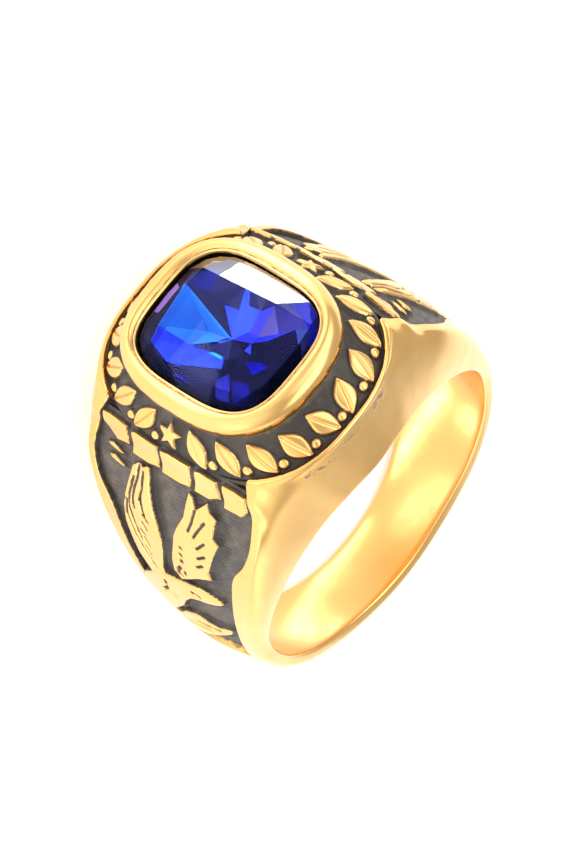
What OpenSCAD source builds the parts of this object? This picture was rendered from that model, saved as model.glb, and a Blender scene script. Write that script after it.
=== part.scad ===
// Class ring with a cushion-cut blue stone, lying on its side as it rests by itself.
// The origin is the centre of the finger hole and +Z is up from the surface below.
// The stone faces -Y, and the two decorated shoulders face +X and -X.
// The casting is drawn with the finger hole upright along Z and is then laid over.

/* [Finger hole] */
// Inside diameter of the band
finger_d = 19.8; // [19.4:0.1:20.2]
// Straight height of the band's side before it rounds over
edge_height = 0.45; // [0.35:0.05:0.6]

/* [Head] */
// Length of the head along the finger
head_long = 17.24; // [17.14:0.02:17.34]
// Width of the head across the finger
head_wide = 14.54; // [14.4:0.1:14.7]
// Height of the head's rim above the centre of the finger hole
rim_rise = 14.7; // [14.6:0.05:14.8]
// Height of the bezel's crest above the rim
bezel_rise = 3.2; // [3.1:0.05:3.3]

/* [Stone] */
// Length of the stone along the finger
stone_long = 9.96; // [9.9:0.02:10]
// Width of the stone across the finger
stone_wide = 8.48; // [8.4:0.02:8.5]
// Length of the flat table on top of the stone
table_long = 8.2; // [8:0.1:8.4]
// Width of the flat table on top of the stone
table_wide = 5.7; // [5.5:0.1:5.9]
// Height of the table above the girdle
crown_height = 0.55; // [0.5:0.05:0.65]
// Depth of the pavilion below the girdle
pavilion_depth = 2; // [1.8:0.05:2.2]

/* [Ornament] */
// Number of raised figures round the stone
figure_count = 22; // [20:2:24]
// Height of the figures above the floor of their channel
figure_height = 0.42; // [0.35:0.01:0.45]
// Depth of the side panels
panel_depth = 0.42; // [0.35:0.01:0.45]
// Number of raised blocks at the top of each side panel
block_count = 5; // [5]

/* [Hidden] */
finger_r = finger_d / 2;
hole_reach = 30;
// The dome grows to its full height over this many degrees below the rim
dome_ramp = 3;
// Where the head's rim takes over from the shoulders, in degrees from the stone
shoulder_angle = 25.9;
// The flat top of the shoulders, just under the head's rim
shelf_rise = rim_rise - 0.04;
rim_square = 2.58;
// Where the ridge of each shoulder meets the rim, in degrees from the stone
corner_angle = 22.6;
// Columns: degrees from the stone, half width at the hole, crest radius, half width of the crest,
// radius that domes the crest across the band
sections = [
    [0, 8.62, 14.66, 8.6, 22],
    [14, 8.26, 15.1, 8, 22],
    [22, 7.9, 15.8, 5.7, 22],
    [26, 7.72, 16.3, 6, 22],
    [29.5, 7.57, 15.35, 6.35, 28],
    [34, 7.38, 14.8, 6.6, 34],
    [38, 7.2, 14.35, 6.6, 38],
    [50, 6.63, 13.15, 5.85, 36],
    [62, 6, 12.25, 5.05, 30],
    [75, 5.29, 11.72, 4.3, 20],
    [90, 4.48, 11.46, 3.6, 14],
    [110, 3.7, 11.26, 3, 12],
    [130, 3.05, 11.18, 2.5, 12],
    [155, 2.38, 11.18, 1.9, 12],
    [180, 2.24, 11.18, 1.75, 12],
];
// Columns: degrees from the stone, half width of the sunk panel
panel_rows = [
    [22, 5.4], [27, 5.85], [32, 6.15], [38, 6.15], [44, 5.7],
    [50, 4.85], [60, 4.35], [73, 3.85], [88, 3.35], [98, 3.05],
];
// Columns: half length, half width, height above the rim, squareness
// The rows run up the head's wall, over the rim, through the channel and over the bezel
head_rows = [
    [8.42, 7.08, -8.7, rim_square],
    [8.56, 7.21, -0.3, rim_square],
    [8.62, 7.27, -0.12, rim_square],
    [8.55, 7.2, 0.02, rim_square],
    [8.38, 7.03, 0.1, rim_square],
    [8.2, 6.86, -0.42, rim_square],
    [6.36, 5.48, 1.4, 2.56],
    [6.47, 5.6, 2.05, 2.56],
    [6.36, 5.5, 2.5, 2.6],
    [6.06, 5.22, 2.86, 2.75],
    [5.68, 4.88, 3, 2.95],
    [5.32, 4.56, 2.92, 3.15],
    [5.1, 4.35, 2.7, 3.34],
    [5.06, 4.31, 1.9, 3.34],
    [4.7, 3.95, 1.45, 3.2],
    [2.4, 2, -1.35, 2.6],
];
head_steps = 68;
channel_foot = 5;
channel_top = 6;
top_angles = [22, 24, 26, 28, 30, 32.5];
side_angles = [for (a = [36:4.5:85]) a];
ring_angles = concat([0, 6, 12, 17], top_angles, side_angles, [for (i = [0:11]) 88 + i * 7.6], [180]);
// The ring lies on two edges of its side, at the hole under the head and opposite the stone
foot_half = sections[len(sections) - 1][1];
lie_tilt = atan((sections[0][1] - foot_half) / (finger_d + edge_height));
girdle_rise = rim_rise + 2.3;
girdle_height = 0.12;

// Smooth reading of one column of a table at an angle
function slope(rows, i, col) =
    let(a = max(i - 1, 0), b = min(i + 1, len(rows) - 1))
    (a == 0 && i == 0) || b == i ? 0 : (rows[b][col] - rows[a][col]) / (rows[b][0] - rows[a][0]);
function span(rows, x, i = 0) = i >= len(rows) - 2 || x < rows[i + 1][0] ? i : span(rows, x, i + 1);
function blend(rows, x, col) =
    let(i = span(rows, x), p = rows[i], q = rows[i + 1], w = q[0] - p[0], t = (x - p[0]) / w)
    p[col] * (1 + 2 * t) * (1 - t) * (1 - t) + slope(rows, i, col) * w * t * (1 - t) * (1 - t)
        + q[col] * t * t * (3 - 2 * t) + slope(rows, i + 1, col) * w * t * t * (t - 1);

function half_width(angle) = blend(sections, angle, 1);
function rim_reach(angle) = 1 - pow(rim_rise * tan(angle) / (head_wide / 2), rim_square);
function rim_half(angle) = head_long / 2 * pow(rim_reach(angle), 1 / rim_square) - 0.03;
function crest_half(angle) = angle < corner_angle ? rim_half(angle) : blend(sections, angle, 3);
function crest_radius(angle) =
    angle < shoulder_angle ? shelf_rise / cos(angle) : blend(sections, angle, 2);
// Height of the outside over the hole's axis, z being the distance from the middle
function outside(angle, z) =
    let(a = abs(angle), dome = z * z / (2 * blend(sections, a, 4)))
    crest_radius(a) - dome * min(1, max(0, (a - corner_angle) / dome_ramp));
function place(angle, r, z) = [r * sin(angle), -r * cos(angle), z];

// One cross-section of the band, from its inside edge over the crest to the other edge
function half_section(angle) =
    let(w = half_width(angle), c = crest_half(angle), r0 = finger_r + edge_height, top = outside(angle, c),
        e = 0.8 + 0.1 * min(1, angle / 90))
    concat([[finger_r - 0.7, w], [r0, w]],
        [for (a = [18:18:90]) [r0 + (top - r0) * pow(sin(a), e), c + (w - c) * pow(cos(a), e)]],
        [for (k = [3, 2, 1]) [outside(angle, c * k / 4), c * k / 4]]);
function band_section(angle) =
    let(half = half_section(angle), n = len(half))
    concat(half, [for (i = [n - 1:-1:0]) [half[i][0], -half[i][1]]]);

// A closed skin over rings of points: rows are joined in order, and the ends are joined or capped
module skin(rings, closed) {
    n = len(rings[0]);
    m = len(rings);
    walls = [for (i = [0:m - (closed ? 1 : 2)]) for (j = [0:n - 1])
        each let(a = i * n + j, b = i * n + (j + 1) % n, c = (i + 1) % m * n + j,
            d = (i + 1) % m * n + (j + 1) % n) [[a, c, b], [b, c, d]]];
    caps = closed ? [] : [[for (j = [0:n - 1]) j], [for (j = [n - 1:-1:0]) (m - 1) * n + j]];
    polyhedron(points = [for (ring = rings) each ring], faces = concat(walls, caps));
}

// The band and its shoulders, as one loop round the finger
module band() {
    there = ring_angles;
    back = [for (i = [len(there) - 2:-1:1]) -there[i]];
    skin([for (angle = concat(there, back))
        [for (p = band_section(abs(angle))) place(angle, p[0], p[1])]], true);
}

function power(v, e) = sign(v) * pow(abs(v), e);
// A rounded-square ring of points at one height over the hole's axis
function cushion(long, wide, square, rise, steps, turn = 0) =
    [for (i = [0:steps - 1]) let(a = 360 * i / steps + turn)
        [-wide * power(sin(a), 2 / square), -rise, long * power(cos(a), 2 / square)]];
function head_ring(row, steps) =
    let(r = head_rows[row])
    cushion(r[0] * head_long / 17.24, r[1] * head_wide / 14.54, r[3],
        rim_rise + (r[2] > 0 ? r[2] * bezel_rise / 3 : r[2]), steps);

// The head: its wall, the rim, the sloping channel, the bezel and the pocket under the stone
module head() {
    skin([for (row = [0:len(head_rows) - 1]) head_ring(row, head_steps)], false);
}

// A raised or sunk strip on a shoulder: each row holds the angle and z of its two edges
function strip_point(r, t, lift) =
    let(a = r[0] + (r[2] - r[0]) * t, z = r[1] + (r[3] - r[1]) * t) place(a, outside(a, z) + lift, z);
module strip(rows, low, high, across = 1) {
    first = rows[0];
    last = rows[len(rows) - 1];
    turn = (last[0] - first[0]) * (first[3] - first[1]) - (last[1] - first[1]) * (first[2] - first[0]);
    count = len(rows);
    skin([for (i = [0:count - 1]) let(r = turn > 0 ? rows[i] : rows[count - 1 - i]) concat(
        [for (k = [0:across]) strip_point(r, k / across, low)],
        [for (k = [across:-1:0]) strip_point(r, k / across, high)])], false);
}

module panel_recess() {
    angles = concat([20.7, 22.7, 25.1, 27.3, 29.3, 31.7, 34.3],
        [for (a = side_angles) a + 1.37], [86.9, 91.7, 96.7]);
    strip([for (a = angles) let(w = blend(panel_rows, a, 1)) [a, w, a, -w]], -panel_depth, 2, 6);
}

// Columns: start angle, start z, end angle, end z, width of each feather of the right wing
feathers = [
    [60, 0.5, 32.6, 1.65, 0.95],
    [62, 0.9, 31.9, 2.95, 1.15],
    [62, 1, 36.6, 3.65, 1.1],
    [63, 1.2, 42, 3.9, 1.1],
    [64, 1.5, 47.5, 3.7, 1],
    [66, 1.5, 53, 3.3, 1],
];
// Columns: angle, lower edge, upper edge of the left wing
left_wing = [
    [33, -2.9, -1.4], [38, -3.15, -1.42], [43, -3.5, -1.3], [48, -3.9, -1],
    [53, -3.95, -0.92], [59, -3.6, -1], [66, -2.9, -0.9], [73, -2, -0.4],
];
// Columns: angle and z of the upper edge, angle and z of the lower edge of the body, from tail to beak
body_rows = [
    [71, -2.75, 89.5, -3.05], [69, -1.9, 85.5, -1.9], [66.3, -0.8, 79, -0.9], [65.5, 0.2, 74.2, 0.2],
    [62.8, 1.5, 69.2, 1.45], [62.8, 2.3, 68, 2.3], [63.8, 3.2, 65.8, 3.25],
];
branch_rows = [[85.3, -1.2, 93.5, -1.4], [81, 0.1, 90.5, 0.2], [80.6, 1.4, 87.6, 1.5], [80, 2.8, 82.4, 2.9]];
// Columns: angle, start and end of the short bars beside the left wing
dash_rows = [[32.4, -5.15, -3.9], [35.6, -5.1, -3.8]];

// The outline of a feather: it swells from its root and ends in a round tip
function feather_rows(f) =
    let(mm = 13.5 * PI / 180, run = [(f[2] - f[0]) * mm, f[3] - f[1]], side = [-run[1], run[0]] / norm(run))
    [for (s = [[0, 0.7], [0.3, 0.95], [0.7, 1], [0.9, 0.8], [1, 0.3]])
        let(x = f[0] * mm + run[0] * s[0], z = f[1] + run[1] * s[0], h = f[4] / 2 * s[1])
        [(x + side[0] * h) / mm, z + side[1] * h, (x - side[0] * h) / mm, z - side[1] * h]];

// The raised eagle of one shoulder, flush with the metal round the panel
module eagle() {
    for (i = [0:len(feathers) - 1]) strip(feather_rows(feathers[i]), -0.7, 0.04 - 0.03 * i);
    strip([for (r = left_wing) [r[0], r[1], r[0], r[2]]], -0.75, 0.02);
    strip(body_rows, -0.8, 0.06);
    strip(branch_rows, -0.65, 0);
    for (d = dash_rows) strip([for (z = [d[1], d[2]]) [d[0] - 0.6, z, d[0] + 0.6, z]], -0.7, 0.01);
}

// The row of raised blocks under the rim
module blocks() {
    pitch = 2.27;
    half = 0.92;
    middle = 0.33;
    for (i = [0:block_count - 1]) {
        z = middle + (i - (block_count - 1) / 2) * pitch;
        strip([for (a = [26.9, 29, 31.2]) [a, z + half, a, z - half]], -0.9, 0.08);
    }
}

module panel_relief() {
    eagle();
    blocks();
}

// Places along the channel: the distance round its middle line for each step
channel_line = let(a = head_ring(channel_foot, head_steps), b = head_ring(channel_top, head_steps))
    [for (i = [0:head_steps]) (a[i % head_steps] + b[i % head_steps]) / 2];
function run_to(i) = i == 0 ? 0 : run_to(i - 1) + norm(channel_line[i] - channel_line[i - 1]);
channel_runs = [for (i = [0:head_steps]) [run_to(i), i]];

// Lays a flat figure in the channel, its foot towards the rim and its top towards the stone
module in_channel(share) {
    at = lookup(share * channel_runs[head_steps][0], channel_runs);
    i = floor(at) % head_steps;
    t = at - floor(at);
    foot = head_ring(channel_foot, head_steps);
    top = head_ring(channel_top, head_steps);
    j = (i + 1) % head_steps;
    p = (foot[i] + top[i]) / 2 * (1 - t) + (foot[j] + top[j]) / 2 * t;
    along = (channel_line[i + 1] - channel_line[i]) / norm(channel_line[i + 1] - channel_line[i]);
    rise = top[i] * (1 - t) + top[j] * t - foot[i] * (1 - t) - foot[j] * t;
    out = cross(rise, along) / norm(cross(rise, along));
    up = cross(along, out);
    multmatrix([for (k = [0:2]) [along[k], up[k], out[k], p[k]]]) children();
}

module figure(points) {
    translate([0, 0, -0.6]) linear_extrude(0.6 + figure_height) polygon(points);
}

function star_points(r) =
    [for (i = [0:9]) let(q = i % 2 == 0 ? r : r * 0.45) [q * sin(36 * i), q * cos(36 * i)]];
// A pointed leaf, leaning along the channel
function leaf_points(long, wide, lean) =
    [for (i = [0:9]) let(t = i < 5 ? i / 5 : 2 - i / 5, side = i < 5 ? 1 : -1,
        x = side * wide / 2 * sin(180 * t), y = long * (t - 0.5))
        [x * cos(lean) + y * sin(lean), y * cos(lean) - x * sin(lean)]];
function berry_points(r) = [for (i = [0:6]) [r * cos(360 * i / 7), r * sin(360 * i / 7)]];

// The garland round the stone: a star over each shoulder, leaves and berries between them
module garland() {
    quarter = figure_count / 4;
    for (i = [0:figure_count - 1]) {
        from_star = (i + 0.5) / figure_count;
        lean = from_star < 0.25 || (from_star > 0.5 && from_star < 0.75) ? 28 : -28;
        is_star = i == floor(quarter) || i == floor(3 * quarter);
        in_channel(from_star) figure(is_star ? star_points(1.02) : leaf_points(2.3, 1.1, lean));
        if (!is_star) in_channel((i + 1) / figure_count) translate([0, -0.62]) figure(berry_points(0.32));
    }
}

// The room that the channel and bezel take out of the top of the shoulders
module head_room() {
    rim = head_rows[3];
    skin([for (rise = [rim_rise - 0.75, rim_rise + 1])
        cushion(rim[0] * head_long / 17.24, rim[1] * head_wide / 14.54, rim[3], rise, head_steps)], false);
}

// The channel and bezel inside the rim, which the panels don't reach
module channel_core() {
    foot = head_rows[channel_foot];
    skin([for (rise = [rim_rise - 1.3, rim_rise + 4])
        cushion((foot[0] - 0.06) * head_long / 17.24, (foot[1] - 0.06) * head_wide / 14.54, foot[3], rise,
            head_steps)], false);
}

// The rim gives way over each panel, so the panel's dark floor runs on into the channel
module casting() {
    difference() {
        union() {
            difference() {
                band();
                head_room();
            }
            head();
        }
        difference() {
            panel_recess();
            channel_core();
        }
        rotate([0, 180, 0]) difference() {
            panel_recess();
            channel_core();
        }
    }
    panel_relief();
    rotate([0, 180, 0]) panel_relief();
    garland();
}

module ring_body() {
    color("gold") rotate([-lie_tilt, 0, 0]) difference() {
        resize([0, 0, head_long]) casting();
        translate([0, 0, -hole_reach / 2]) cylinder(d = finger_d, h = hole_reach, $fn = 180);
    }
}

// The cut stone: a table, a crown of stars, kites and halves, a girdle, and a pointed pavilion
module stone() {
    long = stone_long / 2;
    wide = stone_wide / 2;
    top = girdle_rise + girdle_height;
    table = cushion(table_long / 2, table_wide / 2, 3.2, top + crown_height, 8, 22.5);
    crown = cushion((long + table_long / 2) / 2, (wide + table_wide / 2) / 2, 3.3,
        top + crown_height * 0.55, 8);
    upper = cushion(long, wide, 3.34, top, 16);
    lower = cushion(long, wide, 3.34, girdle_rise, 16);
    belly = cushion(long * 0.5, wide * 0.5, 2.4, girdle_rise - pavilion_depth * 0.62, 8, 22.5);
    culet = [[0, -girdle_rise + pavilion_depth, 0]];
    faces = concat([[for (k = [7:-1:0]) k]],
        [for (k = [0:7]) each let(n = (k + 1) % 8, g = 16 + 2 * k) [
            [k, n, 8 + n],
            [k, g + 1, 8 + k], [k, 8 + n, g + 1],
            [8 + k, g + 1, g], [8 + k, g, 16 + (2 * k + 15) % 16]]],
        [for (k = [0:15]) each let(n = (k + 1) % 16) [[16 + k, 16 + n, 32 + n], [16 + k, 32 + n, 32 + k]]],
        [for (k = [0:7]) each let(n = (k + 1) % 8, g = 32 + 2 * k, h = 32 + (2 * k + 2) % 16) [
            [g, g + 1, 48 + k], [g + 1, h, 48 + k],
            [48 + k, h, 48 + n], [48 + k, 48 + n, 56]]]);
    color("mediumblue") rotate([-lie_tilt, 0, 0])
        polyhedron(points = concat(table, crown, upper, lower, belly, culet), faces = faces);
}

ring_body();
stone();
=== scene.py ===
# A gold class ring with a cushion-cut blue stone, lying on its side on a pale floor.
# The shapes are worked out in millimetres with the finger hole upright along Z and the stone
# facing -Y, and each mesh is then laid over on its side and scaled to metres.
import math

import bmesh
import bpy
import numpy as np
from mathutils import Matrix, Vector
from mathutils.geometry import delaunay_2d_cdt


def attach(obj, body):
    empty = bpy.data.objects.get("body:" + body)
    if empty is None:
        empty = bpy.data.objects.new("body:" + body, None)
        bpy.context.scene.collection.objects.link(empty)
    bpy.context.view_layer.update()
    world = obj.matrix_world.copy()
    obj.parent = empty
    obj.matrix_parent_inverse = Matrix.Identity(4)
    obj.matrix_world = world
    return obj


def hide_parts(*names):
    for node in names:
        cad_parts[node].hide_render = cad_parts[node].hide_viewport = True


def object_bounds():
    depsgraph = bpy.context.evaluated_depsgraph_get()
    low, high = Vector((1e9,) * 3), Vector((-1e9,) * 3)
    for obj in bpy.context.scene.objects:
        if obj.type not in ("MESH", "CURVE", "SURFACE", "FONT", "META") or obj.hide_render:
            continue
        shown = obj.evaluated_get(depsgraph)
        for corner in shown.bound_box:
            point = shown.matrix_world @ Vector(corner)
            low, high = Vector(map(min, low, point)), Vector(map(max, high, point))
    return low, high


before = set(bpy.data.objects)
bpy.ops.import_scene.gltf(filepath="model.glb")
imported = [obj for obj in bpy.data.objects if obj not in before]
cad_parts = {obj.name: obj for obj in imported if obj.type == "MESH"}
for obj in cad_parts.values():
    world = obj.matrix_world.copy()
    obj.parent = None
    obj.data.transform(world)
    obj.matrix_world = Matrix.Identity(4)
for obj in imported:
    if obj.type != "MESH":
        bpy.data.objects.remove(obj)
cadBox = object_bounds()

scene = bpy.context.scene
scene.view_settings.view_transform = "Standard"

# The cast band; angles are in degrees from the stone, going round the finger
castRing = {
    "holeRadius": 9.9,
    "edgeHeight": 0.45,     # straight foot of the side
    "edgeRounding": 0.14,   # rounding of the hole's two edges
    "headLong": 17.24,      # the head's length along the finger
    "headWide": 14.54,      # and its width across it
    "rimRise": 14.7,        # the rim's height above the hole's centre
    "rimSquare": 2.58,      # how square the rim is seen from above
    "bezelRise": 3.2,       # the bezel's crest above the rim
    "crestIn": 0.03,        # the band's crest lies this far inside the rim
    "crestUnder": 0.04,     # and this far under the rim
    "cornerAngle": 22.6,    # where the crest's width passes from the rim to the shoulders
    "shoulderAngle": 25.9,  # and where its height does
    "domingStart": (21.8, 26.2),
    "lieTilt": 17.4876,     # how far the ring leans over on its side
    # angle, half width at the hole, crest radius, half width of the crest, doming radius
    "sections": [
        (0, 8.62, 14.66, 8.6, 22), (14, 8.26, 15.1, 8, 22), (22, 7.9, 15.8, 5.7, 22),
        (26, 7.72, 16.3, 6, 22), (29.5, 7.57, 15.35, 6.35, 28), (34, 7.38, 14.8, 6.6, 34),
        (38, 7.2, 14.35, 6.6, 38), (50, 6.63, 13.15, 5.85, 36), (62, 6, 12.25, 5.05, 30),
        (75, 5.29, 11.72, 4.3, 20), (90, 4.48, 11.46, 3.6, 14), (110, 3.7, 11.26, 3, 12),
        (130, 3.05, 11.18, 2.5, 12), (155, 2.38, 11.18, 1.9, 12), (180, 2.24, 11.18, 1.75, 12),
    ],
    "tableSoftening": (2.2, 29, 40),    # spread, and where it sets in
    # spread, first and last angle, and the ramp at both ends
    "halfSoftening": (1.1, 17, 30, 2),
    "heightSoftening": (0.5, 22, 31, 2),
    "middleSoftening": (2.4, 2, 66, 14),
    "lowSoftening": (3, 2, 66, 14),
    "halfBridge": (15, 34),     # one smooth curve low on the side
    "heightBridge": (18, 36),
    "sidePower": (0.8, 0.1),    # power of the side's curve, and its gain by 90 degrees
    "sideRows": 26,
    "middleBlend": (0.72, 0.97),    # shares of the side's rise
    "edgeBlend": (0.88, 1),
    # steps between angles: near the stone, at the corner, beside the panel, behind it
    "angleSteps": (1.0, 0.2, 0.6, 1.25),
    "cornerStretch": (20, 31),
    "wallAngles": (0.02, 0.15),     # beside the panel's end wall
    # the opening inside the rim: half width and length, least height, depth
    "channelHalf": (7.08, 8.42),
    "channelAbove": 13,
    "channelDepth": 1.1,
    # rough dark marks that the casting left under the rim
    "marks": {
        "under": 0.8,
        "width": 0.42,
        "ends": (-3.6, 4.8),    # across the head
        "fade": 1.0,
        "outward": 5,           # least distance from the middle
        "strength": 0.78,
    },
}
boxGap = 1e-6       # metres kept from the solids' box
perDegree = 10      # fine angles to a degree
fineAngles = np.arange(0, 180.01, 1 / perDegree)


def smoothStep(low, high, x):
    t = np.clip((x - low) / (high - low), 0, 1)
    return t * t * (3 - 2 * t)


def smoothCurve(t, start, end, startRise, endRise):
    # from start to end while t runs from 0 to 1, with the rises at both ends
    t = np.clip(t, 0, 1)
    return (start * (1 + 2 * t) * (1 - t) ** 2 + startRise * t * (1 - t) ** 2
            + end * t * t * (3 - 2 * t) + endRise * t * t * (t - 1))


def readTable(rows, x, column):
    # smooth reading of one column of a table
    table = np.array(rows, float)
    xs, ys = table[:, 0], table[:, column]
    slopes = np.zeros(len(xs))
    slopes[1:-1] = (ys[2:] - ys[:-2]) / (xs[2:] - xs[:-2])
    i = np.clip(np.searchsorted(xs, x, side="right") - 1, 0, len(xs) - 2)
    width = xs[i + 1] - xs[i]
    return smoothCurve((x - xs[i]) / width, ys[i], ys[i + 1], slopes[i] * width, slopes[i + 1] * width)


def softened(values, spread):
    # values along the fine angles, each averaged with its neighbours
    reach = round(4 * spread * perDegree)
    weights = np.exp(-0.5 * (np.arange(-reach, reach + 1) / perDegree / spread) ** 2)
    padded = np.concatenate([values[reach:0:-1], values, values[-2:-reach - 2:-1]])
    return np.convolve(padded, weights / weights.sum(), mode="valid")


def blend(first, second, share):
    return first * (1 - share) + second * share


def softBetween(values, spread, low, high, ramp):
    # softened between two angles, so that the polished metal shows no crease there
    share = smoothStep(low, low + ramp, fineAngles) * (1 - smoothStep(high - ramp, high, fineAngles))
    return blend(values, softened(values, spread), share)


def bridged(values, low, high):
    # one smooth curve in place of what lies between two angles
    first, last, span = low * perDegree, high * perDegree, high - low
    startRise = (values[first] - values[first - perDegree]) * span
    endRise = (values[last + perDegree] - values[last]) * span
    t = (fineAngles - low) / span
    curve = smoothCurve(t, values[first], values[last], startRise, endRise)
    return softBetween(np.where((t > 0) & (t < 1), curve, values), *castRing["lowSoftening"])


def softColumn(column):
    # a column of the band's table without its small kinks
    values = readTable(castRing["sections"], fineAngles, column)
    spread, low, high = castRing["tableSoftening"]
    return blend(values, softened(values, spread), smoothStep(low, high, fineAngles))


sectionColumns = ("footHalf", "crestRadius", "crestHalf", "domingRadius")
softSections = {name: softColumn(i + 1) for i, name in enumerate(sectionColumns)}


def section(angle, name):
    return np.interp(np.abs(angle), fineAngles, softSections[name])


def fineCrest():
    # half width and height of the crest, first along the rim and then along the shoulders
    ring = castRing
    a = np.radians(np.minimum(fineAngles, ring["cornerAngle"]))
    reach = 1 - (ring["rimRise"] * np.tan(a) / (ring["headWide"] / 2)) ** ring["rimSquare"]
    rim = ring["headLong"] / 2 * reach ** (1 / ring["rimSquare"]) - ring["crestIn"]
    half = np.where(fineAngles < ring["cornerAngle"], rim, softSections["crestHalf"])
    a = np.radians(np.minimum(fineAngles, ring["shoulderAngle"]))
    shelf = (ring["rimRise"] - ring["crestUnder"]) / np.cos(a)
    radius = np.where(fineAngles < ring["shoulderAngle"], shelf, softSections["crestRadius"])
    return softBetween(half, *ring["halfSoftening"]), softBetween(radius, *ring["heightSoftening"])


fineHalf, fineRadius = fineCrest()


def outside(angle, z):
    # height of the outside over the hole's axis, z being the distance from the middle
    share = smoothStep(*castRing["domingStart"], np.abs(angle))
    crest = np.interp(np.abs(angle), fineAngles, fineRadius)
    return crest - z * z / (2 * section(angle, "domingRadius")) * share


# the crest as the side follows it low down, further up and at the edge
fineTop = outside(fineAngles, fineHalf)
sideLevels = [
    (bridged(fineHalf, *castRing["halfBridge"]), bridged(fineTop, *castRing["heightBridge"])),
    [softBetween(values, *castRing["middleSoftening"]) for values in (fineHalf, fineTop)],
    (fineHalf, fineTop),
]


def layOver(points):
    # lays the upright ring over on its side and turns millimetres into metres
    tilt = math.radians(castRing["lieTilt"])
    x, y, z = np.moveaxis(np.asarray(points, float), -1, 0)
    laid = [x, y * math.cos(tilt) + z * math.sin(tilt), z * math.cos(tilt) - y * math.sin(tilt)]
    low, high = np.array(cadBox)
    return np.clip(np.stack(laid, -1) / 1000, low + boxGap, high - boxGap)


def aroundFinger(angle, radius, z):
    a = np.radians(angle)
    return np.stack(np.broadcast_arrays(radius * np.sin(a), -radius * np.cos(a), z), -1)


def gridFaces(rows, columns, closeRows=False, closeColumns=False):
    i = np.arange(rows if closeRows else rows - 1)[:, None]
    j = np.arange(columns if closeColumns else columns - 1)
    row, nextRow, nextColumn = i * columns, (i + 1) % rows * columns, (j + 1) % columns
    corners = [row + j, row + nextColumn, nextRow + nextColumn, nextRow + j]
    return np.stack(corners, -1).reshape(-1, 4).tolist()


def makePiece(name, points, faces, patina=None):
    # patina is how dark the finish is at each point, including painted shadow beside the eagle's figures;
    # without it the shading is flat
    mesh = bpy.data.meshes.new(name)
    mesh.from_pydata(points.reshape(-1, 3).tolist(), [], faces)
    if patina is not None:
        mesh.polygons.foreach_set("use_smooth", [True] * len(mesh.polygons))
        layer = mesh.attributes.new("patina", "FLOAT", "POINT")
        layer.data.foreach_set("value", np.asarray(patina, np.float32).ravel())
    mesh.validate()
    mesh.update()
    piece = bpy.data.objects.new(name, mesh)
    scene.collection.objects.link(piece)
    return piece


# The sunk panel of each shoulder; its relief is a mesh of its own on a bed in the band
sidePanel = {
    "start": 22.2,          # degrees from the stone where the bed starts
    "end": 96.7,            # and where the panel ends
    "depth": 0.42,
    "bed": 0.2,             # the bed lies this far under the relief's floor
    "lip": 0.1,             # rounding of the panel's edge
    "lipPatina": 0.75,      # darkness of its foot
    "draft": 0.01,          # how far the wall leans in
    "frame": 0.22,          # least width of the frame
    "reliefStart": 24.6,
    "endOverlap": 0.12,     # degrees that it runs under the panel's end
    "sideOverlap": 0.03,    # and millimetres under its sides
    "skirt": 0.58,          # depth of the relief's closed back
    "spacing": 0.056,       # distance between its rows
    "columns": 234,
    # angle, half width
    "widths": [
        (22, 5.4), (27, 5.85), (32, 6.15), (38, 6.15), (44, 5.7), (50, 4.85), (60, 4.35), (73, 3.85),
        (88, 3.35), (98, 3.05),
    ],
}


def panelHalf(angle):
    return readTable(sidePanel["widths"], np.abs(angle), 1)


def castingMarks(points):
    # slow waves bend and thin the line, quick ones break it up
    marks = castRing["marks"]
    x, under = points[..., 0], castRing["rimRise"] - marks["under"] + points[..., 1]
    line = np.exp(-((under + 0.2 * np.sin(2.1 * x)) / marks["width"]) ** 2)
    (low, high), fade = marks["ends"], marks["fade"]
    line *= smoothStep(low, low + fade, x) * (1 - smoothStep(high - fade, high, x))
    line *= 0.72 + 0.28 * np.sin(2.3 * x + 0.4)
    line *= 0.8 + 0.2 * np.sin(9 * x + 7 * under) * np.sin(5 * x - 13 * under)
    return marks["strength"] * line * (points[..., 2] > marks["outward"])


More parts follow.
